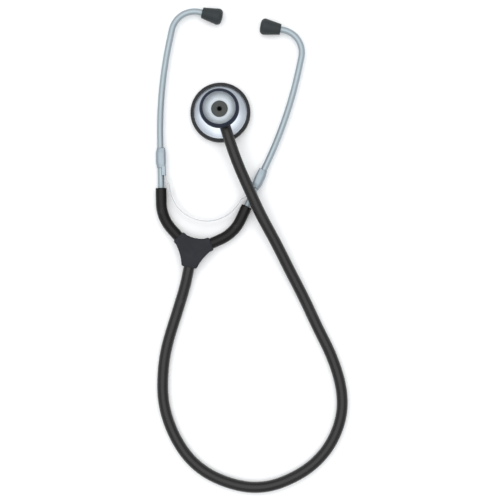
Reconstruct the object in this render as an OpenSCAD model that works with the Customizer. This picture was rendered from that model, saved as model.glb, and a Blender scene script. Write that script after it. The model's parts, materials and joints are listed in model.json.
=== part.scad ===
// Dual-head stethoscope, lying on a table with its bell up. Sizes are in millimetres.
// +Y runs from the yoke to the eartips and +Z is up. The origin is on the table, under the middle
// of the box round everything but the main hose.

/* [Hoses] */
// Outside diameter of the main hose and the two arms
hose_d = 8.8; // [8.4:0.1:9]
// Bore of the main hose
hose_bore = 4.8; // [4.7:0.1:5.2]
// Bore of the arms, which the ear tubes push into
arm_bore = 5.4; // [5.3:0.1:5.8]
// Bend radius of an arm
arm_bend_r = 32; // [30:1:34]

/* [Ear tubes] */
// Outside diameter of an ear tube
ear_tube_d = 5; // [4.6:0.1:5]
// Wall of an ear tube
ear_tube_wall = 0.7; // [0.5:0.1:0.9]
// Outward lean of an ear tube at its arm, in degrees
ear_lean = 13; // [12:0.5:14]
// Straight length of an ear tube above its arm
ear_straight = 40; // [38:1:44]
// Radius of the long gentle curve above that
ear_sweep_r = 345; // [320:5:360]
// Straight length below the end bend
ear_upper_straight = 9; // [6:1:12]
// Radius of the end bend towards the ear
ear_bend_r = 18.5; // [17:0.5:20]
// Angle of the end bend, in degrees
ear_bend = 92; // [90:1:94]
// Largest diameter of an eartip, which is the yoke's height too
tip_d = 13; // [12.6:0.2:13.6]

/* [Leaf spring] */
// Thickness of the strip
leaf_t = 0.7; // [0.5:0.1:0.8]
// Height of the strip
leaf_h = 5; // [4.5:0.5:6]
// Radius of the bow
leaf_r = 30; // [29.5:0.25:30.5]

/* [Chestpiece] */
// Diameter of the rim round the diaphragm
rim_d = 48; // [46:0.5:50]
// Diameter of the rim round the bell
bell_d = 31.5; // [30:0.5:33]
// Direction of the hose stem in plan, in degrees from +X
stem_turn = -60; // [-62:1:-58]
// How far the hose holds up the stem's side, in degrees
head_tilt = 5; // [4:0.5:6]

/* [Hidden] */
$fn = 96;
HOSE_SIDES = 12; // flats round the main hose
TUBE_SIDES = 16; // flats round the arms and ear tubes
FIT = 0.1; // gap round a shaft or between stacked pieces
CLEAR = 0.3; // gap between pieces that flex apart
CUT = 1; // how far a cutter runs past a face

// ---------- lines in plan ----------
// A line is a list of steps: [length] is a straight, [radius, turn, pieces] an arc, left if turn > 0.
function heading(a) = [cos(a), sin(a)];
function arc_move(a, r, turn) =
    sign(turn) * r * [sin(a + turn) - sin(a), cos(a) - cos(a + turn)];
function step_points(at, a, step) =
    len(step) == 1
        ? [at + step[0] * heading(a)]
        : [for (i = [1:step[2]]) at + arc_move(a, step[0], step[1] * i / step[2])];
function line_points(at, a, steps, i = 0) =
    i == len(steps)
        ? [at]
        : let (points = step_points(at, a, steps[i]), turn = len(steps[i]) == 1 ? 0 : steps[i][1])
            concat([at], [for (k = [0:1:len(points) - 2]) points[k]],
                line_points(points[len(points) - 1], a + turn, steps, i + 1));
function last(list) = list[len(list) - 1];
function at_height(points, z) = [for (p = points) [p.x, p.y, z]];

// ---------- a profile swept along points ----------
function unit(v) = v / norm(v);
function tangent(path, i) =
    unit((i > 0 ? unit(path[i] - path[i - 1]) : [0, 0, 0])
        + (i < len(path) - 1 ? unit(path[i + 1] - path[i]) : [0, 0, 0]));
function ring(at, along, profile) =
    let (side = unit(cross(along, [0, 0, 1])), up = cross(side, along))
        [for (p = profile) at + p.x * side + p.y * up];
function circle_points(r, n) = [for (i = [0:n - 1]) r * heading(360 * i / n)];
function quad(a, b, c, d) = [[a, b, c], [a, c, d]];

module swept(path, profile) {
    n = len(profile);
    rings = len(path);
    points = [for (i = [0:rings - 1]) each ring(path[i], tangent(path, i), profile)];
    walls = [for (i = [0:rings - 2], j = [0:n - 1])
        each quad(i * n + j, i * n + (j + 1) % n, (i + 1) * n + (j + 1) % n, (i + 1) * n + j)];
    first_cap = [[for (j = [n - 1:-1:0]) j]];
    last_cap = [[for (j = [0:n - 1]) (rings - 1) * n + j]];
    polyhedron(points, concat(first_cap, walls, last_cap));
}

// The flats of the bore stay outside its true circle, so that a round spigot fits in it.
module swept_tube(path, outer, bore, n) {
    profile = concat(circle_points(outer / 2, n), circle_points(bore / 2 / cos(180 / n), n));
    rings = len(path);
    points = [for (i = [0:rings - 1]) each ring(path[i], tangent(path, i), profile)];
    faces = [for (j = [0:n - 1]) let (k = (j + 1) % n, end = (rings - 1) * 2 * n) each concat(
        quad(j, n + j, n + k, k),
        quad(end + j, end + k, end + n + k, end + n + j),
        [for (i = [0:rings - 2]) let (a = i * 2 * n, b = a + 2 * n) each concat(
            quad(a + j, a + k, b + k, b + j),
            quad(a + n + j, b + n + j, b + n + k, a + n + k))])];
    polyhedron(points, faces);
}

// ---------- the headset's lines, in plan from the middle of the line between the arms' ends ----------
mid_z = tip_d / 2;
arm_end = [35.1, 0]; // where an ear tube enters its arm
ear_heading = 90 - ear_lean;
ear_steps = [[ear_straight], [ear_sweep_r, ear_lean, 8], [ear_upper_straight],
    [ear_bend_r, ear_bend, 14]];
bend_end = last(line_points(arm_end, ear_heading, ear_steps));
tip_heading = 90 + ear_bend;
tip_gap = 1.7; // bare tube between the end bend and the eartip
tip_start = bend_end + tip_gap * heading(tip_heading);
tip_flare_l = 13; // from an eartip's narrow end to where it is widest
tip_bore_l = 9.4; // depth of the socket for the threaded ferrule
ear_tube_in = 11; // how far an ear tube is pushed into its arm

hub_below = 44.8; // from the arms' ends down to the middle of the yoke's connector
yoke_below = 57.3; // and down to the yoke's lower end
tip_above = (tip_start + tip_flare_l * heading(tip_heading)).y + tip_d / 2;
arm_y = (yoke_below - tip_above) / 2; // puts the origin at the middle of the headset
hub_y = arm_y - hub_below;

arm_rise = 36; // heading of an arm where it leaves the yoke
arm_turn = ear_heading - arm_rise;
arm_span = arm_end + [0, hub_below] - arc_move(arm_rise, arm_bend_r, arm_turn);
arm_root_l = (arm_span.x * sin(ear_heading) - arm_span.y * cos(ear_heading)) / sin(arm_turn);
arm_top_l = (arm_span.y * cos(arm_rise) - arm_span.x * sin(arm_rise)) / sin(arm_turn);
hose_in = 6; // from the connector's middle to the end of a hose
socket_l = 16.5; // from the connector's middle to the mouth of an arm's socket

leaf_below = 18.8; // from the arms' ends down to the bottom of the bow
leaf_arc = 74;
leaf_kick_r = 6; // radius of the two short bends that bring the strip to the ear tube
leaf_top = 31; // how far above the arm's end the strip ends
leaf_out = ear_tube_d / 2 + CLEAR + leaf_t / 2; // from the ear tube's axis to the strip's
bow_end = [0, -leaf_below] + arc_move(0, leaf_r, leaf_arc);
inward = heading(ear_heading + 90);
kick = (bow_end - arm_end) * inward - leaf_out;
kick_turn = acos((1 + cos(ear_heading - leaf_arc) - kick / leaf_kick_r) / 2);
kick_steps = [[leaf_r, leaf_arc, 14], [leaf_kick_r, ear_heading - leaf_arc - kick_turn, 4],
    [leaf_kick_r, kick_turn, 5]];
kick_end = last(line_points([0, -leaf_below], 0, kick_steps));
leaf_tail = leaf_top - (kick_end - arm_end) * heading(ear_heading);
half_leaf = line_points([0, -leaf_below], 0, concat(kick_steps, [[leaf_tail]]));

// ---------- the chestpiece's place and levels ----------
head_at = [-1.1, 22.5];
rim_r = rim_d / 2;
foot_r = rim_r - 1; // the rim's corner that the tilted chestpiece stands on
bell_r = bell_d / 2;
stem_z = 13.5; // the stem's axis above the diaphragm's rim
hub_r = 9.5;
boss_r = 4.8; // of the socket for the stem
boss_l = 11.4;
stem_r = 3;
hose_end_x = 13; // from the chestpiece's axis to the end of the hose
barb_l = 16;
hub_top = 18.4;
cup_floor = 20.3;
cup_top = 25.8;
bell_top = 26.6;
plate_z = 1.75; // underside of the dish, on the diaphragm
dish_top = 4.9; // top of the dish's edge
sound_r = 1.5; // of the sound passages
bush_r = 4.5;
stem_neck_r = 2.5;
seal_x = [-2.9, 3.6];
detent_x = -5;
ball_r = 1;
ball_y = stem_r + ball_r + 0.12; // the ball just clears the stem, over its dimple
plug_y = 6.9; // inner face of the screw behind the ball's spring

function from_head(x, z) =
    let (along = x * cos(head_tilt) - z * sin(head_tilt))
        [head_at.x + along * cos(stem_turn), head_at.y + along * sin(stem_turn),
            foot_r * sin(head_tilt) + x * sin(head_tilt) + z * cos(head_tilt)];

// The main hose's route: out of the yoke, along the table, and over the right ear tube to the stem.
floor_z = hose_d / 2;
hose_route = [
    [0, hub_y - hose_in, mid_z], [0, -104, mid_z], [0, -116, 5.7], [-1, -131, floor_z],
    [-2.5, -147, floor_z], [-4, -164, floor_z], [-4, -180, floor_z], [-2, -196, floor_z],
    [2, -212, floor_z], [9, -227, floor_z], [19, -241, floor_z], [33, -254, floor_z],
    [50, -262.5, floor_z], [67, -266, floor_z], [84, -266, floor_z], [100, -261.5, floor_z],
    [114, -253, floor_z], [128, -240, floor_z], [138, -224, floor_z], [143, -207, floor_z],
    [143.5, -190, floor_z], [139.5, -174, floor_z], [132.5, -159.5, floor_z],
    [123, -145, floor_z], [112, -131, floor_z], [96, -110, 4.8], [79, -89, 7.2], [62, -68, 11],
    [48, -51.5, 14], [35.5, -35, 15.6], [23.5, -18.5, 17.6],
    from_head(hose_end_x + barb_l + 3, stem_z), from_head(hose_end_x, stem_z)
];

// ---------- placing ----------
module on_side(side) {
    if (side > 0) children();
    else mirror([1, 0, 0]) children();
}

// Z up, +Y along the right ear tube, from where it enters its arm.
module at_arm_end() translate([arm_end.x, arm_y, mid_z]) rotate([0, 0, -ear_lean]) children();

// +Z along the right eartip, from its narrow end towards the ear.
module at_tip()
    translate([tip_start.x, arm_y + tip_start.y, mid_z]) rotate([0, 0, tip_heading])
        rotate([0, 90, 0]) children();

// +Z along a hose that leaves the yoke's connector with this heading.
module from_hub(a)
    translate([0, hub_y, mid_z]) rotate([0, 0, a]) rotate([0, 90, 0]) children();

// The chestpiece's own frame: Z on its axis from the diaphragm up, +X along the stem.
module at_head()
    translate([head_at.x, head_at.y, foot_r * sin(head_tilt)]) rotate([0, 0, stem_turn])
        rotate([0, -head_tilt, 0]) children();

// +Z along the stem, from the chestpiece's axis outward.
module at_stem() at_head() translate([0, 0, stem_z]) rotate([0, 90, 0]) children();

module at_detent() at_head() translate([detent_x, 0, stem_z]) rotate([-90, 0, 0]) children();

module turned(outline) rotate_extrude() polygon(outline);
function arc_points(centre, r, from, to, n) =
    [for (i = [0:n]) centre + r * heading(from + (to - from) * i / n)];

// ---------- yoke and hoses ----------
module main_tube() color("#1c1a1b") swept_tube(hose_route, hose_d, hose_bore, HOSE_SIDES);

module arm_tube(side) color("#1c1a1b") on_side(side) {
    start = [0, -hub_below] + hose_in * heading(arm_rise);
    steps = [[arm_root_l - hose_in], [arm_bend_r, arm_turn, 10], [arm_top_l]];
    translate([0, arm_y, 0])
        swept_tube(at_height(line_points(start, arm_rise, steps), mid_z), hose_d, arm_bore,
            TUBE_SIDES);
}

module yoke_web() {
    shoulder = [15.7, hub_below - 39.5];
    corner = [11, hub_below - 31];
    foot = [6, hub_below - yoke_below];
    saddle_r = 25.5;
    flank_r = 39;
    flank = unit([foot.y - shoulder.y, shoulder.x - foot.x]);
    flank_mid = (shoulder + foot) / 2;
    half = norm(shoulder - foot) / 2;
    difference() {
        polygon([corner, shoulder, foot, [-foot.x, foot.y], [-shoulder.x, shoulder.y],
            [-corner.x, corner.y]]);
        translate([0, corner.y + sqrt(pow(saddle_r, 2) - pow(corner.x, 2))]) circle(saddle_r);
        for (s = [-1, 1]) scale([s, 1])
            translate(flank_mid - flank * sqrt(pow(flank_r, 2) - pow(half, 2))) circle(flank_r);
    }
}

module yoke() color("#3a3c41") {
    root_d = tip_d - 1;
    mouth_d = 11.4;
    socket_d = hose_d + 2 * FIT;
    web_t = 10.5;
    difference() {
        union() {
            translate([0, hub_y, mid_z]) {
                sphere(d = tip_d);
                translate([0, 0, -web_t / 2]) linear_extrude(web_t) yoke_web();
            }
            for (a = [arm_rise, 180 - arm_rise])
                from_hub(a) cylinder(d1 = root_d, d2 = mouth_d, h = socket_l);
            from_hub(-90) cylinder(d1 = root_d, d2 = mouth_d, h = yoke_below - hub_below);
        }
        for (a = [arm_rise, 180 - arm_rise, -90]) from_hub(a) {
            cylinder(d = 7, h = hose_in);
            translate([0, 0, hose_in - FIT]) cylinder(d = socket_d, h = socket_l);
        }
    }
}

// A spigot along +Z with barbs that grip a hose of this bore.
module barbed_spigot(bore, l, barbs) {
    root_d = bore - 0.9;
    barb_h = 2;
    cylinder(d = root_d, h = l);
    for (z = barbs) translate([0, 0, z]) cylinder(d1 = bore - 2 * FIT, d2 = root_d, h = barb_h);
}

// The Y piece inside the yoke, with a collar under each hose's end.
module yoke_connector() color("#b9b7ae") {
    l = yoke_below - hub_below;
    passage_d = 2.6;
    difference() {
        for (a = [arm_rise, 180 - arm_rise, -90]) from_hub(a) {
            cylinder(d = 6.8, h = hose_in - FIT);
            barbed_spigot(a < 0 ? hose_bore : arm_bore, l, [7, 10.5]);
        }
        for (a = [arm_rise, 180 - arm_rise, -90]) from_hub(a) cylinder(d = passage_d, h = l + CUT);
    }
}

// ---------- headset ----------
module ear_tube(side) color("#bcc8d0") on_side(side) {
    start = arm_end - ear_tube_in * heading(ear_heading);
    steps = concat([[ear_tube_in + ear_straight]], [for (i = [1:3]) ear_steps[i]],
        [[tip_gap + tip_bore_l - 1]]);
    translate([0, arm_y, 0])
        swept_tube(at_height(line_points(start, ear_heading, steps), mid_z), ear_tube_d,
            ear_tube_d - 2 * ear_tube_wall, TUBE_SIDES);
}

module leaf_spring() color("#c9cdd0") {
    profile = [[leaf_t, -leaf_h] / 2, [leaf_t, leaf_h] / 2, [-leaf_t, leaf_h] / 2,
        [-leaf_t, -leaf_h] / 2];
    left = [for (i = [len(half_leaf) - 1:-1:1]) [-half_leaf[i].x, half_leaf[i].y]];
    translate([0, arm_y, 0]) swept(at_height(concat(left, half_leaf), mid_z), profile);
}

// Section of the sleeve round the ear tube and, on its inner side, the leaf spring.
module sleeve_section() {
    wall = 0.7;
    bulge = 0.5; // how much thicker the outer side is
    round_r = 1.2;
    slot_h = leaf_h / 2 + CLEAR;
    slot_out = leaf_out + leaf_t / 2 + FIT;
    reach = slot_out + wall;
    high = slot_h + wall;
    difference() {
        union() {
            translate([bulge, 0]) circle(ear_tube_d / 2 + wall);
            translate([-reach, round_r - high]) square([reach, 2 * (high - round_r)]);
            translate([round_r - reach, -high]) square([reach - round_r, 2 * high]);
            for (s = [-1, 1]) translate([round_r - reach, s * (high - round_r)]) circle(round_r);
        }
        circle(ear_tube_d / 2);
        translate([-slot_out, -slot_h]) square([slot_out - 2, 2 * slot_h]);
    }
}

// Holds the end of the leaf spring against the ear tube. Its tongue runs on down over the spring.
module spring_sleeve(side) color("#c3ced4") on_side(side) {
    start = 16;
    l = 16;
    tongue_l = 6;
    tongue_edge = -1; // from the ear tube's axis to the tongue's outer edge
    at_arm_end() translate([0, start, 0]) rotate([-90, 0, 0]) {
        linear_extrude(l) sleeve_section();
        translate([0, 0, -tongue_l]) linear_extrude(tongue_l + CUT) intersection() {
            sleeve_section();
            translate([tongue_edge - 5, -5]) square([5, 10]);
        }
    }
}

// Threaded ferrule on the end of the ear tube, which the eartip screws onto.
module eartip_ferrule(side) color("#aeb4b8") on_side(side) at_tip() difference() {
    union() {
        translate([0, 0, 0.6]) cylinder(d = 6.2, h = 8.2);
        for (z = [1.4:1.6:8]) translate([0, 0, z]) cylinder(d = 6.8, h = 0.7);
    }
    translate([0, 0, -CUT]) cylinder(d = ear_tube_d, h = 12);
}

module eartip(side) color("#3c4144") on_side(side) at_tip() {
    hole_r = 1.5;
    socket_r = 3.5;
    corner_r = 3.4;
    top = tip_flare_l + corner_r + 0.2;
    turned(concat([[socket_r, 0], [4.3, 0]],
        arc_points([tip_d / 2 - corner_r, tip_flare_l], corner_r, -10, 78, 10),
        [[hole_r + 0.4, top], [hole_r, top - 0.4], [hole_r, tip_bore_l], [socket_r, tip_bore_l]]));
}

// ---------- chestpiece ----------
module head_body() color("#c8ccd2") {
    edge_r = rim_r - 1.7;
    lip_r = rim_r - 2.8;
    dome_below = 34.7; // centre of the dish's domed top, under the diaphragm
    dome_r = norm([lip_r, dish_top + dome_below]);
    at_head() difference() {
        turned(concat([[0, 4.1], [edge_r - 2.8, 2.6], [edge_r - 2, plate_z], [edge_r, plate_z],
            [edge_r, dish_top]],
            arc_points([0, -dome_below], dome_r, acos(lip_r / dome_r), acos(hub_r / dome_r), 6),
            [[hub_r, hub_top], [0, hub_top]]));
        cylinder(r = sound_r, h = hub_top);
        translate([0, 0, hub_top - 1.25]) cylinder(r = bush_r + FIT / 2, h = CUT + 1.25);
        translate([0, 0, stem_z]) rotate([0, 90, 0]) {
            translate([0, 0, -7]) cylinder(r = stem_r + FIT, h = 14);
            translate([0, 0, 6]) cylinder(r = boss_r - 1, h = 10);
        }
        translate([detent_x, 0, stem_z]) rotate([-90, 0, 0]) {
            cylinder(r = 1.1, h = 10);
            translate([0, 0, 6.8]) cylinder(r = 1.3, h = 4);
        }
    }
    at_stem() difference() {
        translate([0, 0, 7.5]) cylinder(r = boss_r, h = boss_l - 7.5);
        cylinder(r = boss_r - 1, h = boss_l + CUT);
    }
}

// Barbed for the hose, and held in the chestpiece by its flange. The side port faces the side in use.
module stem() color("#c8ccd2") {
    port_r = 1.2;
    flange_x = 6.2;
    groove_w = 1.1;
    at_stem() difference() {
        union() {
            translate([0, 0, -6.6]) cylinder(r = stem_r, h = 13);
            translate([0, 0, flange_x]) cylinder(r = boss_r - 1.1, h = 1.4);
            cylinder(r = stem_neck_r, h = hose_end_x);
            translate([0, 0, hose_end_x - CUT])
                barbed_spigot(hose_bore, barb_l + CUT, [4, 8, 12]);
        }
        cylinder(r = port_r, h = 40);
        rotate([0, -90, 0]) cylinder(r = port_r, h = 5);
        for (x = seal_x) translate([0, 0, x - groove_w / 2]) difference() {
            cylinder(r = stem_r + CUT, h = groove_w);
            cylinder(r = stem_r - 1, h = groove_w);
        }
        for (s = [-1, 1]) translate([0, s * (stem_r + 0.75), detent_x]) sphere(r = 1.1);
    }
}

module stem_seal(x) color("#26282b") {
    cord_r = 0.5;
    at_stem() translate([0, 0, x]) rotate_extrude() translate([stem_r - cord_r, 0]) circle(cord_r);
}

// Threaded gland that keeps the stem's flange in its socket.
module stem_collar() color("#b4b9c0") at_stem() difference() {
    union() {
        translate([0, 0, 7.8]) cylinder(r = boss_r - 1, h = boss_l - 7.8);
        translate([0, 0, boss_l]) cylinder(r = boss_r, h = 1.1);
    }
    cylinder(r = stem_neck_r + FIT, h = boss_l + 2);
}

module detent_ball() color("#d5d8da")
    at_detent() translate([0, 0, ball_y]) sphere(r = ball_r);

module detent_spring() color("#a9adb0") {
    turns = 3;
    wire_d = 0.35;
    coil_r = 0.75;
    from = ball_y + ball_r + wire_d / 2 + 0.05;
    to = plug_y - wire_d / 2 - 0.05;
    steps = 12 * turns;
    coil = [for (i = [0:steps]) let (at = coil_r * heading(360 * turns * i / steps))
        [at.x, at.y, from + (to - from) * i / steps]];
    at_detent() swept(coil, circle_points(wire_d / 2, 6));
}

module detent_screw() color("#8f9498") at_detent() difference() {
    translate([0, 0, plug_y]) cylinder(r = 1.25, h = 1.1);
    translate([0, 0, plug_y + 0.5]) cylinder(r = 0.65, h = CUT, $fn = 6);
}

module bell_cup() color("#d3d7dc") {
    lip_r = bell_r - 1.3;
    inner_r = lip_r - 0.8;
    bowl_r = 6.8;
    bowl_end = 15; // angle short of upright at which the bowl meets the lip
    at_head() turned(concat([[bush_r + FIT, hub_top + FIT / 2], [hub_r + 0.5, hub_top + FIT / 2],
        [lip_r, 21.6], [lip_r, cup_top], [inner_r, cup_top]],
        arc_points([inner_r - bowl_r * cos(bowl_end), cup_floor + bowl_r], bowl_r, -bowl_end, -90, 8),
        [[bush_r + FIT, cup_floor]]));
}

// Grey bush that screws the bell to the hub and carries the sound through.
module bell_bush() color("#555855") at_head() difference() {
    union() {
        translate([0, 0, cup_floor + 0.05]) cylinder(r = 6.5, h = 0.8);
        translate([0, 0, hub_top - 1.2]) cylinder(r = bush_r, h = cup_floor + 1.3 - hub_top);
    }
    cylinder(r = 1.7, h = bell_top);
}

module bell_rim() color("#262f3d") {
    inner_r = bell_r - 2.7;
    groove_r = bell_r - 1.25;
    at_head() turned(concat([[groove_r, 21.2]],
        arc_points([bell_r - 0.8, 22], 0.8, -90, 0, 4),
        arc_points([bell_r - 3, 23.6], 3, 0, 75, 6),
        [[inner_r + 0.3, bell_top], [inner_r, bell_top - 0.3], [inner_r, cup_top + 0.1],
            [groove_r, cup_top + 0.1]]));
}

module diaphragm() color("#e4e2d8") at_head()
    translate([0, 0, plate_z - 0.4]) cylinder(r = rim_r - 1.75, h = 0.35);

module diaphragm_retainer() color("#b4b9c0") at_head() turned([
    [rim_r - 3.5, 0.8], [rim_r - 1.75, 0.8], [rim_r - 1.75, plate_z - 0.45],
    [rim_r - 3.5, plate_z - 0.45]]);

module diaphragm_rim() color("#3a3d40") {
    mouth_r = rim_r - 3.5;
    groove_r = rim_r - 1.65;
    at_head() turned(concat([[mouth_r, 0]],
        arc_points([rim_r - 1, 1], 1, -90, 0, 4),
        arc_points([rim_r - 1.8, 4.2], 1.8, 0, 90, 6),
        [[rim_r - 2.6, 6], [rim_r - 2.6, dish_top + 0.1], [groove_r, dish_top + 0.1],
            [groove_r, 0.75], [mouth_r, 0.75]]));
}

main_tube();
yoke();
yoke_connector();
arm_tube(-1);  // left_arm_tube
arm_tube(1);  // right_arm_tube
leaf_spring();
ear_tube(-1);  // left_ear_tube
spring_sleeve(-1);  // left_spring_sleeve
eartip_ferrule(-1);  // left_eartip_ferrule
eartip(-1);  // left_eartip
ear_tube(1);  // right_ear_tube
spring_sleeve(1);  // right_spring_sleeve
eartip_ferrule(1);  // right_eartip_ferrule
eartip(1);  // right_eartip
stem();
stem_seal(seal_x[0]);  // inner_stem_seal
stem_seal(seal_x[1]);  // outer_stem_seal
stem_collar();
head_body();
detent_ball();
detent_spring();
detent_screw();
bell_cup();
bell_bush();
bell_rim();
diaphragm();
diaphragm_retainer();
diaphragm_rim();
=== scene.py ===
"""The looks of a dual-head stethoscope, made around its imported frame.

Lengths are in metres, and the points of an outline are in millimetres. The chestpiece's pieces are
made in its own frame: Z on its axis from the diaphragm up, and +X along the stem to the hose.
"""

import json
import math

import bmesh
import bpy
import numpy as np
from mathutils import Matrix, Vector


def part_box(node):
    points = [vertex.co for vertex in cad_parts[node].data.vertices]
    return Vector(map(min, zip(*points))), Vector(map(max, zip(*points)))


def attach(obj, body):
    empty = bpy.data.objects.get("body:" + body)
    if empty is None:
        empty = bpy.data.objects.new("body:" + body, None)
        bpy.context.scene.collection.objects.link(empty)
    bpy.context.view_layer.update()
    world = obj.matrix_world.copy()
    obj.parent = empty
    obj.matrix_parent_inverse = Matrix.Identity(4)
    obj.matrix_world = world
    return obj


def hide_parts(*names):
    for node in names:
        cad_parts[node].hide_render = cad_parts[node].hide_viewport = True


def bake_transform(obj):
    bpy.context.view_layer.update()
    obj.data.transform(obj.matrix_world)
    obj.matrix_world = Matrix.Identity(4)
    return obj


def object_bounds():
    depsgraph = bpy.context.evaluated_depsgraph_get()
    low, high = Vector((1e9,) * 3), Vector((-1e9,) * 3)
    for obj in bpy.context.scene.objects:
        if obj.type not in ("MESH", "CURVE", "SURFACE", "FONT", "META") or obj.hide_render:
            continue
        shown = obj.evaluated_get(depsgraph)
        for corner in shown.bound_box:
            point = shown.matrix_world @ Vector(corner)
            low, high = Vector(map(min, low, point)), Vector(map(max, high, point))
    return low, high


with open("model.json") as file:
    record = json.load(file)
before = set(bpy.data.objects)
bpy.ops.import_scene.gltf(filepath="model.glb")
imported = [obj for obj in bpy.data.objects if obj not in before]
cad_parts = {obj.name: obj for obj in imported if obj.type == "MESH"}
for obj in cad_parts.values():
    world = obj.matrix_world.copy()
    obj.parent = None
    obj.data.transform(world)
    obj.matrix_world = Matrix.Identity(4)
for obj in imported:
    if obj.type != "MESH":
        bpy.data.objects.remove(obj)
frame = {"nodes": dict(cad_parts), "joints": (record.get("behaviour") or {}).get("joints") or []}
cad_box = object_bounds()

MM = 0.001
UP = Vector((0, 0, 1))

# ---------- sizes that the frame's boxes don't give ----------
HOSE_R = 4.4 * MM
HOSE_LIP = 0.5 * MM  # the radius of the edges at a hose's ends
HOSE_BORE_R = 2.4 * MM
ARM_BORE_R = 2.55 * MM
EAR_TUBE_R = 2.5 * MM
EAR_TUBE_BORE_R = 1.8 * MM
EAR_TUBE_LIP = 0.2 * MM
CONNECTOR_L = 12.5 * MM  # from the connector's middle to the end of each spigot
HUB_TO_ARM_ENDS = 44.8 * MM
ARM_END_X = 35.1 * MM
HOSE_IN = 6 * MM  # from the connector's middle to the end of each hose
STEM_Z = 13.5 * MM  # the stem's axis above the diaphragm's rim
HOSE_END_X = 13 * MM  # from the chestpiece's axis to the end of the hose

# ---------- places from the frame ----------
connector_low, connector_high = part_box("yoke_connector")
mid_z = (connector_low.z + connector_high.z) / 2
hub = Vector((0, connector_low.y + CONNECTOR_L, mid_z))
arm_end = hub + Vector((ARM_END_X, HUB_TO_ARM_ENDS, 0))


def chestpiece_place():
    """The chestpiece's own frame, from the joint that it turns on."""
    turn = next(joint for joint in frame["joints"] if joint["name"] == "chestpiece_turn")
    x = Vector(turn["axis"]).normalized()
    y = UP.cross(x).normalized()
    z = x.cross(y)
    place = Matrix((x, y, z)).transposed().to_4x4()
    place.translation = Vector(turn["pos_m"]) - STEM_Z * z
    return place


HEAD = chestpiece_place()
STEM = HEAD @ Matrix.Translation((0, 0, STEM_Z)) @ Matrix.Rotation(math.pi / 2, 4, "Y")


# ---------- lines ----------
RING_GAP = 1.5 * MM  # between the rings of a bent tube


def heading(angle):
    return Vector((math.cos(angle), math.sin(angle), 0))


def place_along(angle, at):
    """A place at this point, with +Z level and along this heading, and +Y up."""
    z = heading(angle)
    place = Matrix((UP.cross(z), UP, z)).transposed().to_4x4()
    place.translation = at
    return place


def mirrored(path, side):
    """The path itself for the right side, 1, or its mirror image for the left side, -1."""
    return [(side * p[0], p[1], p[2]) for p in path]


def plan_line(at, angle, steps, spacing):
    """Points along level steps: a (length,) is a straight, and a (radius, turn) an arc.

    An arc goes to the left if its turn is above 0.
    """
    points = [at.copy()]
    for step in steps:
        turn = step[1] if len(step) == 2 else 0
        length = step[0] * abs(turn) if turn else step[0]
        pieces = max(2, round(length / spacing))
        radius = math.copysign(step[0], turn)
        for i in range(1, pieces + 1):
            if turn:
                centre = at + radius * heading(angle + math.pi / 2)
                points.append(centre - radius * heading(angle + turn * i / pieces + math.pi / 2))
            else:
                points.append(at + heading(angle) * length * i / pieces)
        at, angle = points[-1], angle + turn
    return points


def smooth_line(points, spacing):
    """A natural cubic spline through the points, as an array of points about this far apart."""
    p = np.array(points, float)
    gaps = np.linalg.norm(np.diff(p, axis=0), axis=1)
    knots = np.concatenate([[0], np.cumsum(gaps)])
    n = len(p)
    matrix, target = np.eye(n), np.zeros((n, 3))
    for i in range(1, n - 1):
        matrix[i, i - 1:i + 2] = gaps[i - 1], 2 * (gaps[i - 1] + gaps[i]), gaps[i]
        target[i] = 6 * ((p[i + 1] - p[i]) / gaps[i] - (p[i] - p[i - 1]) / gaps[i - 1])
    bend = np.linalg.solve(matrix, target)
    at = np.linspace(0, knots[-1], round(knots[-1] / spacing) + 1)
    k = np.clip(np.searchsorted(knots, at, "right") - 1, 0, n - 2)
    gap = gaps[k][:, None]
    after, before = (at - knots[k])[:, None], (knots[k + 1] - at)[:, None]
    return ((bend[k] * before**3 + bend[k + 1] * after**3) / (6 * gap)
        + (p[k] / gap - bend[k] * gap / 6) * before
        + (p[k + 1] / gap - bend[k + 1] * gap / 6) * after)


# ---------- camera ----------
VIEW_W = 0.4  # width of the picture at the headset's level
CAMERA_H = 1.2
CAMERA_TURN = math.radians(12)
CAMERA_SHIFT = Vector((-1.4, 3.3, 0)) * MM  # of the picture's middle from the middle of the object's box


def camera():
    made = bpy.data.objects.new("camera", bpy.data.cameras.new("camera"))
    middle = (cad_box[0] + cad_box[1]) / 2 + CAMERA_SHIFT
    made.location = (middle.x, middle.y, mid_z + CAMERA_H)
    made.rotation_euler = (0, 0, CAMERA_TURN)
    made.data.lens = made.data.sensor_width * CAMERA_H / VIEW_W
    bpy.context.scene.collection.objects.link(made)
    bpy.context.scene.camera = made


# ---------- meshes ----------
WELD = 0.002 * MM  # points of a cut piece that are closer than this become one


def mesh_object(name, points, faces, place=None):
    mesh = bpy.data.meshes.new(name)
    mesh.from_pydata([tuple(p) for p in points], [], faces)
    solid = bmesh.new()
    solid.from_mesh(mesh)
    bmesh.ops.recalc_face_normals(solid, faces=solid.faces)
    solid.to_mesh(mesh)
    solid.free()
    mesh.shade_smooth()
    made = bpy.data.objects.new(name, mesh)
    bpy.context.scene.collection.objects.link(made)
    if place:
        made.matrix_world = place
    return made


def modify(piece, kind, **settings):
    """Gives the piece a modifier with these settings, and applies it."""
    modifier = piece.modifiers.new(kind.lower(), kind)
    for key, value in settings.items():
        setattr(modifier, key, value)
    shown = piece.evaluated_get(bpy.context.evaluated_depsgraph_get())
    mesh = bpy.data.meshes.new_from_object(shown)
    piece.modifiers.clear()
    piece.data = mesh


def weigh_normals(piece):
    """Keeps flats flat next to the small rounded edges."""
    modifier = piece.modifiers.new("normals", "WEIGHTED_NORMAL")
    modifier.keep_sharp = True
    modifier.weight = 50


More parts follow.
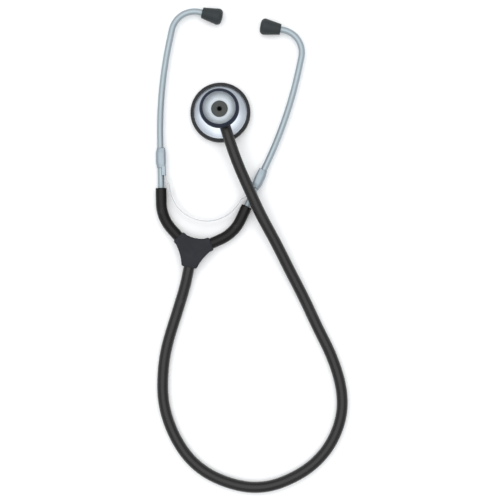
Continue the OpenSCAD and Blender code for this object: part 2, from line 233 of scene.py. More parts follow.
def joined(name, *parts):
    """One object of several, with its origin at the frame's."""
    solid = bmesh.new()
    for part in parts:
        part.data.transform(part.matrix_world)
        solid.from_mesh(part.data)
        bpy.data.objects.remove(part)
    mesh = bpy.data.meshes.new(name)
    solid.to_mesh(mesh)
    solid.free()
    made = bpy.data.objects.new(name, mesh)
    bpy.context.scene.collection.objects.link(made)
    return made


def cut(piece, *cutters):
    """Cuts pieces out of a piece, and welds the slivers that the cuts leave."""
    for cutter in cutters:
        modify(piece, "BOOLEAN", object=cutter, operation="DIFFERENCE", solver="EXACT")
        bpy.data.objects.remove(cutter)
    solid = bmesh.new()
    solid.from_mesh(piece.data)
    bmesh.ops.remove_doubles(solid, verts=solid.verts, dist=WELD)
    bmesh.ops.dissolve_degenerate(solid, edges=solid.edges, dist=WELD)
    solid.to_mesh(piece.data)
    solid.free()


def ring_faces(count, sides, closed=False):
    """Quads between rings of points that follow each other."""
    faces = []
    for i in range(count if closed else count - 1):
        a, b = i * sides, (i + 1) % count * sides
        for j in range(sides):
            k = (j + 1) % sides
            faces.append((a + j, a + k, b + k, b + j))
    return faces


def path_frames(path):
    """Unit vectors along the path, to its right and up, at each point."""
    along = np.gradient(np.array(path, float), axis=0)
    along /= np.linalg.norm(along, axis=1)[:, None]
    side = np.cross(along, UP)
    side /= np.linalg.norm(side, axis=1)[:, None]
    return along, side, np.cross(side, along)


def sweep(name, path, stations, closed):
    """Rings along a path. A station is (index, shift along the path, the ring's (right, up) points).

    If closed, the last ring joins the first. If not, each end has a flat cap with a sharp edge.
    The mesh keeps "straight", each point's place as if the path were straight along X.
    """
    sides = len(stations[0][2])
    path = np.array(path, float)
    along, side, up = path_frames(path)
    travelled = np.concatenate([[0], np.cumsum(np.linalg.norm(np.diff(path, axis=0), axis=1))])
    points, straight = [], []
    for i, shift, ring in stations:
        for right, high in ring:
            points.append(path[i] + along[i] * shift + side[i] * right + up[i] * high)
            straight.append((travelled[i] + shift, right, high))
    faces = ring_faces(len(stations), sides, closed)
    if not closed:
        faces += [tuple(range(sides)), tuple(len(points) - 1 - i for i in range(sides))]
    made = mesh_object(name, points, faces)
    if not closed:
        ends = [set(range(sides)), set(range(len(points) - sides, len(points)))]
        for edge in made.data.edges:
            edge.use_edge_sharp = any(end.issuperset(edge.vertices) for end in ends)
    attribute = made.data.attributes.new("straight", "FLOAT_VECTOR", "POINT")
    attribute.data.foreach_set("vector", np.array(straight, np.float32).ravel())
    return made


def circle(radius, sides):
    return [(radius * math.cos(a), radius * math.sin(a)) for a in np.arange(sides) * math.tau / sides]


def tube(name, path, outer, bore, lip, sides=40):
    """A hose or tube along a path, with its ends' edges rounded by the radius lip."""
    last = len(path) - 1
    turns = [i * math.pi / 8 for i in range(5)]  # round a quarter circle

    def edge(i, inward, radius, out):
        """The stations round one edge, from the end's face to the wall."""
        return [(i, inward * lip * (1 - math.cos(a)), circle(radius - out * lip * (1 - math.sin(a)), sides))
            for a in turns]

    stations = edge(0, 1, outer, 1)
    stations += [(i, 0, circle(outer, sides)) for i in range(1, last)]
    stations += edge(last, -1, outer, 1)[::-1]
    stations += edge(last, -1, bore, -1)
    stations += [(i, 0, circle(bore, sides)) for i in range(last - 1, 0, -1)]
    stations += edge(0, 1, bore, -1)[::-1]
    return sweep(name, path, stations, closed=True)


def arc(centre, radius, start, end, n):
    """Points in millimetres round part of a circle. The angles are in degrees."""
    angles = np.radians(np.linspace(start, end, n + 1))
    return [(centre[0] + radius * math.cos(a), centre[1] + radius * math.sin(a)) for a in angles]


def rounded(outline, n=5):
    """A closed outline of (x, y) and (x, y, fillet radius) points, with each fillet as n chords."""
    points = []
    for i, corner in enumerate(outline):
        here = Vector(corner[:2])
        if len(corner) == 2:
            points.append(tuple(here))
            continue
        back = (Vector(outline[i - 1][:2]) - here).normalized()
        ahead = (Vector(outline[(i + 1) % len(outline)][:2]) - here).normalized()
        half = back.angle(ahead) / 2
        middle = here + (back + ahead).normalized() * corner[2] / math.sin(half)
        start = here + back * corner[2] / math.tan(half) - middle
        end = here + ahead * corner[2] / math.tan(half) - middle
        swing = start.angle_signed(end)
        for k in range(n + 1):
            a = -swing * k / n
            turned = Vector((start.x * math.cos(a) - start.y * math.sin(a),
                start.x * math.sin(a) + start.y * math.cos(a)))
            points.append(tuple(middle + turned))
    return points


def lathe(name, outline, place, segments):
    """A closed outline of (radius, height) points in millimetres, turned about its place's Z axis.

    A third number rounds a corner by that radius.
    """
    points, rings = [], []
    for radius, height in rounded(outline):
        if radius < 1e-6:
            rings.append([len(points)] * segments)
            points.append((0, 0, height * MM))
            continue
        rings.append(range(len(points), len(points) + segments))
        points += [(x * MM, y * MM, height * MM) for x, y in circle(radius, segments)]
    faces = []
    for i, ring in enumerate(rings):
        before = rings[i - 1]
        for j in range(segments):
            k = (j + 1) % segments
            corners = list(dict.fromkeys((before[j], before[k], ring[k], ring[j])))
            if len(corners) > 2:
                faces.append(corners)
    return mesh_object(name, points, faces, place)


# ---------- materials ----------
# A noise's scale is in cycles a metre, so 1000 gives a grain of about a millimetre.
def node(tree, kind, inputs=(), **settings):
    """A shader node. Each input is another node's output to link, or a value to set."""
    made = tree.nodes.new("ShaderNode" + kind)
    for key, value in settings.items():
        setattr(made, key, value)
    for socket, value in dict(inputs).items():
        if isinstance(value, bpy.types.NodeSocket):
            tree.links.new(value, made.inputs[socket])
        else:
            made.inputs[socket].default_value = value
    return made


def new_material(name, **settings):
    """A material, its node tree and its shader, with these numbers set on the shader itself."""
    made = bpy.data.materials.new(name)
    made.use_nodes = True
    shader = made.node_tree.nodes["Principled BSDF"]
    for socket, value in settings.items():
        shader.inputs[socket.replace("_", " ")].default_value = value
    return made, made.node_tree, shader


def stretched(tree, vector, scale):
    return node(tree, "VectorMath", {0: vector, 1: scale}, operation="MULTIPLY").outputs[0]


def noise(tree, vector, scale, detail=3, rough=0.55):
    made = node(tree, "TexNoise", {"Vector": vector, "Scale": scale, "Detail": detail, "Roughness": rough})
    return made.outputs[0]


def ring_noise(tree, vector, scale, detail=4):
    """Noise that depends only on the distance from the Z axis."""
    flat = stretched(tree, vector, (1, 1, 0))
    radius = node(tree, "VectorMath", {0: flat}, operation="LENGTH").outputs["Value"]
    made = node(tree, "TexNoise", {"W": radius, "Scale": scale, "Detail": detail}, noise_dimensions="1D")
    return made.outputs[0]


def ramp(tree, amount, stops):
    """The colour at this amount, between stops of (amount, colour)."""
    made = node(tree, "ValToRGB", {"Fac": amount})
    elements = made.color_ramp.elements
    while len(elements) < len(stops):
        elements.new(0.5)
    for element, (at, colour) in zip(elements, stops):
        element.position = at
        element.color = (*colour, 1)
    return made.outputs["Color"]


def between(tree, amount, low, high, start=0.3, end=0.7):
    """The amount, which runs from start to end, as a value that runs from low to high."""
    inputs = {"Value": amount, "From Min": start, "From Max": end, "To Min": low, "To Max": high}
    return node(tree, "MapRange", inputs).outputs["Result"]


def added(tree, a, b, share):
    """a + share * b"""
    return node(tree, "Math", {0: b, 1: share, 2: a}, operation="MULTIPLY_ADD").outputs[0]


def scaled(colour, factor):
    return tuple(min(1, c * factor) for c in colour)


def object_place(tree):
    return node(tree, "TexCoord").outputs["Object"]


def straight_place(tree):
    return node(tree, "Attribute", attribute_name="straight").outputs["Vector"]


def connect(tree, shader, **values):
    """Links nodes' outputs to the shader's sockets, named with _ for each space."""
    for socket, value in values.items():
        tree.links.new(value, shader.inputs[socket.replace("_", " ")])


def bump(tree, height, distance):
    return node(tree, "Bump", {"Height": height, "Distance": distance}).outputs["Normal"]


def moulded(name, colour, rough, grain, grain_depth, **settings):
    """Rubber or plastic: faint mottling, fine grain, scuffed patches and pale dust in the grain."""
    made, tree, shader = new_material(name, **settings)
    v = object_place(tree)
    clouds = noise(tree, v, 70)
    fine = noise(tree, v, 1 / grain, detail=2)
    scuffs = noise(tree, stretched(tree, v, (1, 3, 2)), 260, detail=5, rough=0.7)
    tone = added(tree, clouds, fine, 0.35)
    stops = [(0.45, scaled(colour, 0.82)), (0.68, colour), (0.92, scaled(colour, 1.3))]
    worn = added(tree, between(tree, clouds, -0.05, 0.05), scuffs, 0.22)
    roughness = node(tree, "Math", {0: worn, 1: rough - 0.11}, operation="ADD").outputs[0]
    connect(tree, shader, Base_Color=ramp(tree, tone, stops), Roughness=roughness,
        Normal=bump(tree, fine, grain_depth))
    return made


def hose_pvc(name, brightness, specular):
    """Extruded PVC: satin, with faint lines along it, a soft bloom and a few specks of dust."""
    made, tree, shader = new_material(name, Specular_IOR_Level=specular, Sheen_Weight=0.02,
        Sheen_Roughness=0.5)
    v = straight_place(tree)
    clouds = noise(tree, v, 45, detail=4)
    lines = noise(tree, stretched(tree, v, (12, 900, 900)), 1, detail=3)
    fine = noise(tree, v, 3200, detail=2)
    specks = noise(tree, v, 1500, detail=1)
    dust = between(tree, specks, 0, 0.5, 0.72, 0.8)
    tone = node(tree, "Math", {0: clouds, 1: dust}, operation="ADD").outputs[0]
    dark, pale = (0.007, 0.0055, 0.0055), (0.0115, 0.0095, 0.0095)
    stops = [(0.3, scaled(dark, brightness)), (0.7, scaled(pale, brightness)), (1, (0.08, 0.08, 0.08))]
    gloss = added(tree, between(tree, clouds, 0.28, 0.36), lines, 0.08)
    height = added(tree, fine, lines, 1.5)
    connect(tree, shader, Base_Color=ramp(tree, tone, stops), Roughness=gloss,
        Normal=bump(tree, height, 0.012 * MM))
    return made


def drawn_metal(name, colour, rough, place=straight_place):
    """Metal with fine lines along it from drawing or rolling, and faint handling marks."""
    made, tree, shader = new_material(name, Metallic=1.0)
    v = place(tree)
    lines = noise(tree, stretched(tree, v, (25, 4200, 4200)), 1, detail=3)
    long_lines = noise(tree, stretched(tree, v, (4, 1300, 1300)), 1, detail=2)
    marks = noise(tree, v, 130, detail=5, rough=0.65)
    tone = added(tree, marks, long_lines, 0.6)
    stops = [(0.45, scaled(colour, 0.93)), (0.95, scaled(colour, 1.06))]
    gloss = added(tree, between(tree, marks, rough - 0.09, rough + 0.03), lines, 0.12)
    height = added(tree, long_lines, lines, 0.7)
    connect(tree, shader, Base_Color=ramp(tree, tone, stops), Roughness=gloss,
        Normal=bump(tree, height, 0.004 * MM))
    return made


def turned_metal(name, colour, rough, streaks=0.0):
    """Polished metal turned about its Z axis: fine rings, small scratches and soft finger marks.

    streaks makes the smears that much darker and paler.
    """
    made, tree, shader = new_material(name, Metallic=1.0)
    v = object_place(tree)
    rings = ring_noise(tree, v, 5200)
    broad_rings = ring_noise(tree, v, 900, detail=2)
    smears = noise(tree, v, 110, detail=4, rough=0.6)
    scratches = noise(tree, stretched(tree, v, (2600, 160, 400)), 1, detail=3)
    tone = added(tree, smears, broad_rings, 0.4)
    stops = [(0.4, scaled(colour, 0.95 - streaks)), (0.65, colour), (0.9, scaled(colour, 1.04 + streaks))]
    gloss = added(tree, between(tree, smears, rough - 0.05, rough + 0.05), rings, 0.05)
    height = added(tree, rings, scratches, 0.3)
    connect(tree, shader, Base_Color=ramp(tree, tone, stops), Roughness=gloss,
        Normal=bump(tree, height, 0.0016 * MM))
    return made


def diaphragm_laminate():
    """Resin and glass cloth: a fine crossed weave under a smooth skin, with pale clouds."""
    made, tree, shader = new_material("diaphragm_looks", Coat_Weight=0.4, Coat_Roughness=0.15)
    v = object_place(tree)
    waves = [node(tree, "TexWave", {"Vector": v, "Scale": 420, "Distortion": 0.6, "Detail": 1},
        bands_direction=axis).outputs["Fac"] for axis in "XY"]
    weave = node(tree, "Math", {0: waves[0], 1: waves[1]}, operation="MULTIPLY").outputs[0]
    clouds = noise(tree, v, 160, detail=4)
    tone = added(tree, clouds, weave, 0.25)
    stops = [(0.3, (0.60, 0.58, 0.50)), (0.9, (0.78, 0.77, 0.70))]
    gloss = between(tree, weave, 0.28, 0.42, 0, 1)
    connect(tree, shader, Base_Color=ramp(tree, tone, stops), Roughness=gloss,
        Normal=bump(tree, weave, 0.006 * MM))
    return made


materials = {
    "hose": hose_pvc("hose_pvc_looks", 0.8, 0.38),
    # The arms' copy of the same PVC is made darker than the hose's: painted shade on the arms.
    "arm": hose_pvc("arm_pvc_painted_shade_looks", 0.45, 0.22),
    "yoke": moulded("yoke_looks", (0.021, 0.0225, 0.027), 0.66, 0.28 * MM, 0.02 * MM,
        Specular_IOR_Level=0.16),
    "connector": moulded("connector_looks", (0.46, 0.45, 0.41), 0.5, 0.3 * MM, 0.01 * MM),
    "eartip": moulded("eartip_looks", (0.023, 0.029, 0.031), 0.58, 0.2 * MM, 0.008 * MM,
        Specular_IOR_Level=0.3, Sheen_Weight=0.05, Sheen_Roughness=0.4),
    "bell_rim": moulded("bell_rim_looks", (0.007, 0.012, 0.027), 0.5, 0.24 * MM, 0.008 * MM,
        Specular_IOR_Level=0.3),
    "dish_rim": moulded("dish_rim_looks", (0.014, 0.015, 0.017), 0.5, 0.24 * MM, 0.008 * MM,
        Specular_IOR_Level=0.3),
    "bush": moulded("bush_looks", (0.036, 0.042, 0.038), 0.6, 0.16 * MM, 0.008 * MM),
    "seal": moulded("seal_looks", (0.02, 0.02, 0.022), 0.5, 0.1 * MM, 0.004 * MM),
    "ear_tube": drawn_metal("ear_tube_looks", (0.39, 0.445, 0.475), 0.58),
    "sleeve": drawn_metal("sleeve_looks", (0.34, 0.39, 0.425), 0.55),
    "spring": drawn_metal("spring_looks", (0.42, 0.43, 0.44), 0.3),
    "ferrule": drawn_metal("ferrule_looks", (0.55, 0.57, 0.59), 0.3, object_place),
    "chrome": turned_metal("chrome_looks", (0.57, 0.615, 0.675), 0.3),
    "cup": turned_metal("cup_looks", (0.53, 0.565, 0.595), 0.62, streaks=0.12),
    "steel": turned_metal("steel_looks", (0.62, 0.63, 0.64), 0.24),
    # The stem's dark steel, and also the painted shade in the chestpiece's drilled passage.
    "dark_steel_and_painted_shade": turned_metal("dark_steel_looks", (0.02, 0.02, 0.021), 0.6),
    "diaphragm": diaphragm_laminate(),
}


def dress(piece, material, slot, body, *nodes):
    """Gives a piece its material and the body it rides on, and hides the CAD nodes it stands for. The slot
    is not used.
    """
    piece.data.materials.clear()
    piece.data.materials.append(materials[material])
    if nodes:
        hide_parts(*nodes)
    if body:
        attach(piece, body)
    return piece


# ---------- hoses ----------
floor_z = HOSE_R  # the height of the hose's middle where it lies on the floor
STEM_RUN = 19 * MM  # of the hose, straight onto the stem
HOSE_ROUTE = [
    hub - Vector((0, HOSE_IN, 0)),
    (0, -0.104, mid_z), (0, -0.116, 0.0057), (-0.001, -0.131, floor_z),
    (-0.0025, -0.147, floor_z), (-0.004, -0.164, floor_z), (-0.004, -0.18, floor_z),
    (-0.002, -0.196, floor_z), (0.002, -0.212, floor_z), (0.009, -0.227, floor_z),
    (0.019, -0.241, floor_z), (0.033, -0.254, floor_z), (0.05, -0.2625, floor_z),
    (0.067, -0.266, floor_z), (0.084, -0.266, floor_z), (0.1, -0.2615, floor_z),
    (0.114, -0.253, floor_z), (0.128, -0.24, floor_z), (0.138, -0.224, floor_z),
    (0.143, -0.207, floor_z), (0.1435, -0.19, floor_z), (0.1395, -0.174, floor_z),
    (0.1325, -0.1595, floor_z), (0.123, -0.145, floor_z), (0.112, -0.131, floor_z),
    (0.096, -0.11, 0.0048), (0.079, -0.089, 0.0072), (0.062, -0.068, 0.011),
    (0.048, -0.0515, 0.014), (0.0355, -0.035, 0.0156), (0.0235, -0.0185, 0.0176),
    HEAD @ Vector((HOSE_END_X + STEM_RUN, 0, STEM_Z)), HEAD @ Vector((HOSE_END_X, 0, STEM_Z)),
]


def main_hose():
    path = smooth_line(HOSE_ROUTE, 2 * MM)
    path[:, 2] = np.maximum(path[:, 2], floor_z)
    made = tube("main_hose", path, HOSE_R, HOSE_BORE_R, HOSE_LIP)
    dress(made, "hose", "hose_pvc", "root", "main_tube")


ARM_RISE = math.radians(36)  # an arm's heading where it leaves the yoke
ARM_BEND_R = 32 * MM
EAR_HEADING = math.radians(77)  # of the arm's top and of the straight part of the ear tube
TUBE_IN_ARM = 11 * MM


def arm_lengths():
    """The two straights either side of an arm's bend, which take it from the hub to its end."""
    turn = EAR_HEADING - ARM_RISE
    bend = heading(ARM_RISE + math.pi / 2) - heading(EAR_HEADING + math.pi / 2)
    span = (arm_end - hub) - ARM_BEND_R * bend
    root = (span.x * math.sin(EAR_HEADING) - span.y * math.cos(EAR_HEADING)) / math.sin(turn)
    top = (span.y * math.cos(ARM_RISE) - span.x * math.sin(ARM_RISE)) / math.sin(turn)
    return root, top


def arm_hose(word, side):
    root, top = arm_lengths()
    start = hub + HOSE_IN * heading(ARM_RISE)
    steps = [(root - HOSE_IN,), (ARM_BEND_R, EAR_HEADING - ARM_RISE), (top,)]
    path = mirrored(plan_line(start, ARM_RISE, steps, RING_GAP), side)
    made = tube(f"arm_hose_{word}", path, HOSE_R, ARM_BORE_R, HOSE_LIP)
    dress(made, "arm", "hose_pvc", None, f"{word}_arm_tube")
    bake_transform(made)


# ---------- headset ----------
# Along an ear tube from its arm. The two curves are (radius, turn).
EAR_STRAIGHT = 40 * MM
EAR_SWEEP = (345 * MM, math.radians(13))
EAR_UPPER = 9 * MM
EAR_BEND = (18.5 * MM, math.radians(92))
TIP_GAP = 1.7 * MM  # from the end bend to the eartip
TUBE_IN_TIP = 8.4 * MM
TIP_HEADING = EAR_HEADING + EAR_SWEEP[1] + EAR_BEND[1]
ear_steps = [(TUBE_IN_ARM + EAR_STRAIGHT,), EAR_SWEEP, (EAR_UPPER,), EAR_BEND, (TIP_GAP,)]
ear_line = plan_line(arm_end - TUBE_IN_ARM * heading(EAR_HEADING), EAR_HEADING, ear_steps, RING_GAP)


def tip_place(side):
    """+Z along an eartip, from its narrow end towards the ear."""
    place = place_along(TIP_HEADING, ear_line[-1])
    mirror = Matrix.Scale(-1, 4, (1, 0, 0))
    return place if side > 0 else mirror @ place @ mirror


def ear_tube(word, side):
    path = ear_line + [ear_line[-1] + heading(TIP_HEADING) * TUBE_IN_TIP * i / 4 for i in range(1, 5)]
    made = tube(f"tube_{word}", mirrored(path, side), EAR_TUBE_R, EAR_TUBE_BORE_R, EAR_TUBE_LIP, sides=36)
    weigh_normals(dress(made, "ear_tube", "ear_tube_metal", f"{word}_binaural", f"{word}_ear_tube"))


def eartip(word, side):
    outline = [(3.5, 0, 0.2), (4.3, 0, 0.5), *arc((3.1, 13), 3.4, -10, 76, 16), (1.5, 16.65, 0.6),
        (1.5, 9.4), (3.5, 9.4)]
    made = lathe(f"tip_{word}", outline, tip_place(side), segments=96)
    dress(made, "eartip", "eartip_soft", f"{word}_binaural", f"{word}_eartip")


SLEEVE_START = 16 * MM  # from the arm's end
SLEEVE_L = 16 * MM
SLEEVE_TAPER = 4.5 * MM  # the length over which each end thins
SLEEVE_END_SHARE = 0.3  # of the wall's full thickness, at the two ends
SLEEVE_SIDES = 64
# The sleeve's reach in millimetres to the spring's side, to the other side and up, and then how
# square it is on the spring's side and on the other, where 2 is round.
SLEEVE_INSIDE = (3.6, 2.54, 2.75, 9, 2)
SLEEVE_OUTSIDE = (4.2, 3.7, 3.5, 4, 2.3)


def sleeve_reach(a, inward, outward, high, power_in, power_out):
    """The sleeve's radius at this angle, where 0 points away from the spring."""
    c, s = abs(math.cos(a)), abs(math.sin(a))
    wide, power = (outward, power_out) if math.cos(a) > 0 else (inward, power_in)
    return ((c / wide) ** power + (s / high) ** power) ** (-1 / power)


def sleeve_ring(share, side):
    """A D-shaped ring round the ear tube and the spring's end. share is 0 inside and 1 outside."""
    ring = []
    for i in range(SLEEVE_SIDES):
        a = math.tau * i / SLEEVE_SIDES
        inner_r, outer_r = sleeve_reach(a, *SLEEVE_INSIDE), sleeve_reach(a, *SLEEVE_OUTSIDE)
        radius = (inner_r + (outer_r - inner_r) * share) * MM
        ring.append((side * radius * math.cos(a), radius * math.sin(a)))
    return ring


def spring_sleeve(word, side):
    """The crimped sleeve that holds the spring's end against the ear tube."""
    steps = 24
    start = arm_end + SLEEVE_START * heading(EAR_HEADING)
    path = [start + heading(EAR_HEADING) * SLEEVE_L * i / steps for i in range(steps + 1)]
    stations = []
    for i in range(steps + 1):
        t = min(1, min(i, steps - i) / steps * SLEEVE_L / SLEEVE_TAPER)
        share = SLEEVE_END_SHARE + (1 - SLEEVE_END_SHARE) * t * t * (3 - 2 * t)
        stations.append((i, 0, sleeve_ring(share, side)))
    stations += [(i, 0, sleeve_ring(0, side)) for i in range(steps, -1, -1)]
    made = sweep(f"sleeve_{word}", mirrored(path, side), stations, closed=True)
    weigh_normals(dress(made, "sleeve", "sleeve_metal", f"{word}_binaural", f"{word}_spring_sleeve"))


TONGUE_L = 6 * MM  # below the sleeve
TONGUE_IN_SLEEVE = 1.5 * MM
TONGUE_EDGE = 0.3  # the radius of the edge at its lower end


def tongue_ring(inset, side):
    """A channel over the spring, open towards the ear tube, with its outer side set in by inset."""
    high, deep = 3.3 - inset, 4.1 - inset
    outline = [(-0.9, high, 0.25), (-deep, high, 0.9), (-deep, -high, 0.9), (-0.9, -high, 0.25),
        (-0.9, -2.45), (-3.55, -2.7, 0.1), (-3.55, 2.7, 0.1), (-0.9, 2.45)]
    return [(side * x * MM, y * MM) for x, y in rounded(outline)]


def sleeve_tongue(word, side):
    """The sleeve's tongue, which runs on down over the spring to where the spring leaves the tube."""
    steps = 8
    start = arm_end + (SLEEVE_START - TONGUE_L) * heading(EAR_HEADING)
    length = TONGUE_L + TONGUE_IN_SLEEVE
    path = [start + heading(EAR_HEADING) * length * i / steps for i in range(steps + 1)]
    stations = []
    for a in np.linspace(0, math.pi / 2, 4):
        ring = tongue_ring(TONGUE_EDGE * (1 - math.sin(a)), side)
        stations.append((0, TONGUE_EDGE * (1 - math.cos(a)) * MM, ring))
    stations += [(i, 0, tongue_ring(0, side)) for i in range(1, steps + 1)]
    made = sweep(f"sleeve_tongue_{word}", mirrored(path, side), stations, closed=False)
    weigh_normals(dress(made, "sleeve", "sleeve_metal", f"{word}_binaural", f"{word}_spring_sleeve"))


LEAF_T = 0.7  # thickness and height of the strip, in millimetres
LEAF_H = 5
LEAF_R = 30 * MM  # of the bow
LEAF_ARC = math.radians(74)  # from the bottom of the bow to where the kick begins
LEAF_KICK_R = 6 * MM  # of the two bends that bring the strip beside the ear tube
LEAF_BESIDE = 3.15 * MM  # from the ear tube's middle to the strip's
LEAF_TOP = 31 * MM  # from the arm's end to the strip's end
LEAF_BELOW = 18.8 * MM  # from the arms' ends down to the bottom of the bow


def half_leaf():
    """The right half of the spring's line, from the bottom of its bow into the sleeve.

    The second value is the point where the line comes beside the ear tube.
    """
    start = Vector((0, hub.y + HUB_TO_ARM_ENDS - LEAF_BELOW, mid_z))
    bow_end = plan_line(start, 0, [(LEAF_R, LEAF_ARC)], 3 * MM)[-1]
    kick = (bow_end - arm_end).dot(heading(EAR_HEADING + math.pi / 2)) - LEAF_BESIDE
    swing = EAR_HEADING - LEAF_ARC
    turn = math.acos((1 + math.cos(swing) - kick / LEAF_KICK_R) / 2)
    steps = [(LEAF_R, LEAF_ARC), (LEAF_KICK_R, swing - turn), (LEAF_KICK_R, turn)]
    kick_end = plan_line(start, 0, steps, 3 * MM)[-1]
    tail = LEAF_TOP - (kick_end - arm_end).dot(heading(EAR_HEADING))
    return plan_line(start, 0, steps + [(tail,)], 0.75 * MM), kick_end


def leaf_half(word, side):
    wide, high, edge = LEAF_T / 2, LEAF_H / 2, 0.2
    corners = [(-wide, -high, edge), (wide, -high, edge), (wide, high, edge), (-wide, high, edge)]
    ring = [(x * MM, y * MM) for x, y in rounded(corners, n=3)]
    line, kick_end = half_leaf()
    path = mirrored(line, side)
    made = sweep(f"spring_{word}", path, [(i, 0, ring) for i in range(len(path))], closed=False)
    dress(made, "spring", "spring_steel", None, "leaf_spring")
    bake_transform(made)
    weigh_normals(made)


# ---------- yoke ----------
# In millimetres from the hub, as outlines are.
SADDLE_END = (11, 13.8)  # where the web's saddle meets the right leg
SADDLE_R = 25.5
FLANK_TOP, FLANK_FOOT = Vector((15.7, 5.3)), Vector((6, -12.5))  # the ends of the web's right side
FLANK_R = 39
WEB_HALF_T = 5.25
YOKE_BALL_R = 6.5
YOKE_LEGS = {ARM_RISE: 16.5, math.pi - ARM_RISE: 16.5, -math.pi / 2: 12.5}  # length by heading
YOKE_BORE_START = 5.9
YOKE_BORE_R = 4.5


def yoke_web():
    """The flat web between the yoke's three legs, with a saddle on top and hollow flanks."""
    x, y = SADDLE_END
    dip = math.degrees(math.asin(x / SADDLE_R))
    saddle = arc((0, y + math.sqrt(SADDLE_R**2 - x**2)), SADDLE_R, 270 + dip, 270 - dip, 12)
    chord = FLANK_TOP - FLANK_FOOT
    half = chord.length / 2
    out = Vector((-chord.y, chord.x)).normalized()
    centre = (FLANK_TOP + FLANK_FOOT) / 2 - out * math.sqrt(FLANK_R**2 - half**2)
    swing = math.degrees(math.asin(half / FLANK_R))
    facing = math.degrees(math.atan2(out.y, out.x))
    flank = arc(centre, FLANK_R, facing - swing, facing + swing, 8)
    outline = saddle + [(-x, y) for x, y in flank] + flank[::-1]
    n = len(outline)
    points = [(x * MM, y * MM, z * MM) for z in (-WEB_HALF_T, WEB_HALF_T) for x, y in outline]
    faces = ring_faces(2, n) + [tuple(range(n)), tuple(range(n, 2 * n))]
    return mesh_object("web", points, faces, Matrix.Translation(hub))


def yoke_moulding():
    """The ball, legs and web melted into one soft moulding, with a socket for each hose."""
    half_circle = [(0, -YOKE_BALL_R), *arc((0, 0), YOKE_BALL_R, -80, 80, 16), (0, YOKE_BALL_R)]
    ball = lathe("ball", half_circle, Matrix.Translation(hub), 64)
    cones = [lathe("leg", [(0, 0), (6, 0), (5.7, length, 0.8), (0, length)], place_along(angle, hub), 64)
        for angle, length in YOKE_LEGS.items()]
    made = joined("yoke_body", ball, yoke_web(), *cones)
    modify(made, "REMESH", mode="VOXEL", voxel_size=0.45 * MM, use_smooth_shade=True)
    modify(made, "SMOOTH", factor=0.5, iterations=24)
    bores = []
    for angle, length in YOKE_LEGS.items():
        start, end = YOKE_BORE_START, length + 3
        outline = [(0, start), (YOKE_BORE_R, start), (YOKE_BORE_R, end), (0, end)]
        bores.append(lathe("bore", outline, place_along(angle, hub), 64))
    cut(made, *bores)
    dress(made, "yoke", "yoke_moulding", "root", "yoke")


# ---------- chestpiece ----------
PAINTED_SHADE_R = 4.6 * MM  # inside this radius, the seat and the drilled passage are painted near-black, as painted shade in the hole
DETENT_X = -5 * MM  # the detent's bore crosses the stem's axis here
TURNED_SIDES = 192  # of the chestpiece's large pieces


def dish_and_hub():
    """The turned body: the dish over the diaphragm and the hub that holds the stem."""
    dome = arc((0, -34.7), math.hypot(21.2, 34.7 + 4.9), 61.83, 77, 16)  # rises from (21.2, 4.9)
    outline = [(1.5, 4.1), (19.5, 2.6, 0.5), (20.3, 1.75, 0.2), (22.3, 1.75, 0.2), (22.3, 4.9, 0.25),
        *dome, (9.5, 9.2, 0.5), (9.5, 18.4, 0.4), (4.55, 18.4, 0.15), (4.55, 17.15), (1.5, 17.15, 0.15)]
    made = lathe("dish_and_hub", outline, HEAD, TURNED_SIDES)
    stem_bore = lathe("bore", [(0, -7), (3.1, -7), (3.1, 6), (3.75, 6), (3.75, 16), (0, 16)], STEM, 64)
    detent = STEM @ Matrix.Translation((0, 0, DETENT_X)) @ Matrix.Rotation(-math.pi / 2, 4, "X")
    detent_bore = lathe("bore", [(0, 0), (1.1, 0), (1.1, 6.8), (1.3, 6.8), (1.3, 11), (0, 11)], detent, 48)
    cut(made, stem_bore, detent_bore)
    dress(made, "chrome", "chrome", "chestpiece", "head_body")
    # The faces round the axis, the seat and the drilled passage, get near-black steel: painted shade in the
    # hole, where the turned body is really chrome.
    made.data.materials.append(materials["dark_steel_and_painted_shade"])
    for face in made.data.polygons:
        if math.hypot(face.center.x, face.center.y) < PAINTED_SHADE_R:
            face.material_index = 1
    weigh_normals(made)


def stem_socket():
    outline = [(3.8, 7.2), (4.8, 7.2), (4.8, 11.4, 0.2), (3.8, 11.4)]
    made = lathe("stem_socket", outline, STEM, 96)
    dress(made, "chrome", "chrome", "chestpiece", "head_body")


def gland():
    outline = [(2.6, 7.8), (3.8, 7.8), (3.8, 11.45), (4.8, 11.45, 0.2), (4.8, 12.5, 0.35), (2.6, 12.5, 0.2)]
    made = lathe("gland", outline, STEM, 96)
    dress(made, "steel", "machined_steel", "chestpiece", "stem_collar")
    weigh_normals(made)


def bell():
    bowl = arc((7.08, 27.1), 6.8, -15, -90, 16)
    outline = [(4.6, 18.45), (10, 18.45, 0.5), (14.45, 21.6, 0.5), (14.45, 25.8, 0.3), (13.65, 25.8, 0.2),
        *bowl, (4.6, 20.3)]
    made = lathe("cup", outline, HEAD, TURNED_SIDES)
    weigh_normals(dress(made, "cup", "chrome", "chestpiece", "bell_cup"))


def bush():
    outline = [(1.7, 17.2), (4.5, 17.2, 0.2), (4.5, 20.35), (6.5, 20.35, 0.1), (6.5, 21.15, 0.3),
        (2.3, 21.15, 0.3), (1.7, 20.6, 0.3)]
    made = lathe("bush", outline, HEAD, 96)
    weigh_normals(dress(made, "bush", "bush_grey", "chestpiece", "bell_bush"))


def bell_rim():
    outline = [(14.5, 21.2, 0.3), (15.75, 21.2, 0.7), *arc((12.75, 23.6), 3, 0, 68, 12), (13.55, 26.6, 0.2),
        (13.05, 26.6, 0.25), (13.05, 25.9, 0.1), (14.5, 25.9)]
    made = lathe("cup_rim", outline, HEAD, TURNED_SIDES)
    weigh_normals(dress(made, "bell_rim", "bell_rim_rubber", "chestpiece", "bell_rim"))


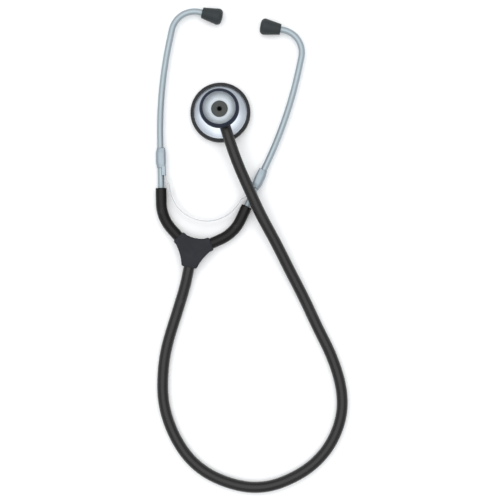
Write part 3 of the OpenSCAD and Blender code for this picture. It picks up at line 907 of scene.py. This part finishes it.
def dish_rim():
    outline = [(20.5, 0, 0.35), (24, 0, 1), *arc((22.2, 4.2), 1.8, 0, 84, 12), (21.4, 6, 0.3),
        (21.4, 5, 0.1), (22.35, 5), (22.35, 0.75), (20.5, 0.75, 0.1)]
    made = lathe("dish_rim", outline, HEAD, TURNED_SIDES)
    weigh_normals(dress(made, "dish_rim", "diaphragm_rim_plastic", "chestpiece", "diaphragm_rim"))


def diaphragm_disc():
    outline = [(0, 1.35), (22.25, 1.35, 0.1), (22.25, 1.7, 0.1), (0, 1.7)]
    made = lathe("diaphragm_disc", outline, HEAD, 160)
    weigh_normals(dress(made, "diaphragm", "diaphragm_film", "chestpiece", "diaphragm"))


# ---------- the nodes that stay ----------
KEPT_NODES = {
    "yoke_connector": ("connector", "connector_plastic"),
    "left_eartip_ferrule": ("ferrule", "ferrule_metal"),
    "right_eartip_ferrule": ("ferrule", "ferrule_metal"),
    "stem": ("dark_steel_and_painted_shade", "machined_steel"),
    "inner_stem_seal": ("seal", "seal_rubber"),
    "outer_stem_seal": ("seal", "seal_rubber"),
    "detent_ball": ("steel", "machined_steel"),
    "detent_spring": ("spring", "spring_steel"),
    "detent_screw": ("steel", "machined_steel"),
    "diaphragm_retainer": ("steel", "machined_steel"),
}


# ---------- stage ----------
FLOOR_REACH = 4


def floor():
    r = FLOOR_REACH
    made = mesh_object("floor", [(-r, -r, 0), (r, -r, 0), (r, r, 0), (-r, r, 0)], [(0, 1, 2, 3)])
    material, tree, shader = new_material("floor_looks")
    v = object_place(tree)
    tone = noise(tree, v, 9, detail=4)
    stops = [(0.3, (0.95, 0.95, 0.945)), (0.7, (0.98, 0.98, 0.98))]
    connect(tree, shader, Base_Color=ramp(tree, tone, stops),
        Roughness=between(tree, noise(tree, v, 240), 0.55, 0.7))
    made.data.materials.append(material)


def lights():
    """A wide softbox above, a little to the picture's upper left, and a pale room."""
    middle = (cad_box[0] + cad_box[1]) / 2
    light = bpy.data.lights.new("overhead", "AREA")
    light.size = 2.5
    light.energy = 31
    made = bpy.data.objects.new("overhead", light)
    made.location = (middle.x - 0.2, middle.y + 0.15, 1.8)
    made.rotation_euler = (middle - made.location).to_track_quat("-Z", "Y").to_euler()
    bpy.context.scene.collection.objects.link(made)
    world = bpy.data.worlds.new("studio")
    world.use_nodes = True
    world.node_tree.nodes["Background"].inputs["Color"].default_value = (0.95, 0.975, 1, 1)
    world.node_tree.nodes["Background"].inputs["Strength"].default_value = 0.7
    bpy.context.scene.world = world


# ---------- making ----------
camera()
main_hose()
for word, side in (("left", -1), ("right", 1)):
    arm_hose(word, side)
    ear_tube(word, side)
    eartip(word, side)
    spring_sleeve(word, side)
    sleeve_tongue(word, side)
    leaf_half(word, side)
yoke_moulding()
dish_and_hub()
stem_socket()
gland()
bell()
bush()
bell_rim()
dish_rim()
diaphragm_disc()
for name, (material, slot) in KEPT_NODES.items():
    dress(frame["nodes"][name], material, slot, None)
floor()
lights()
bpy.context.scene.view_settings.view_transform = "Standard"
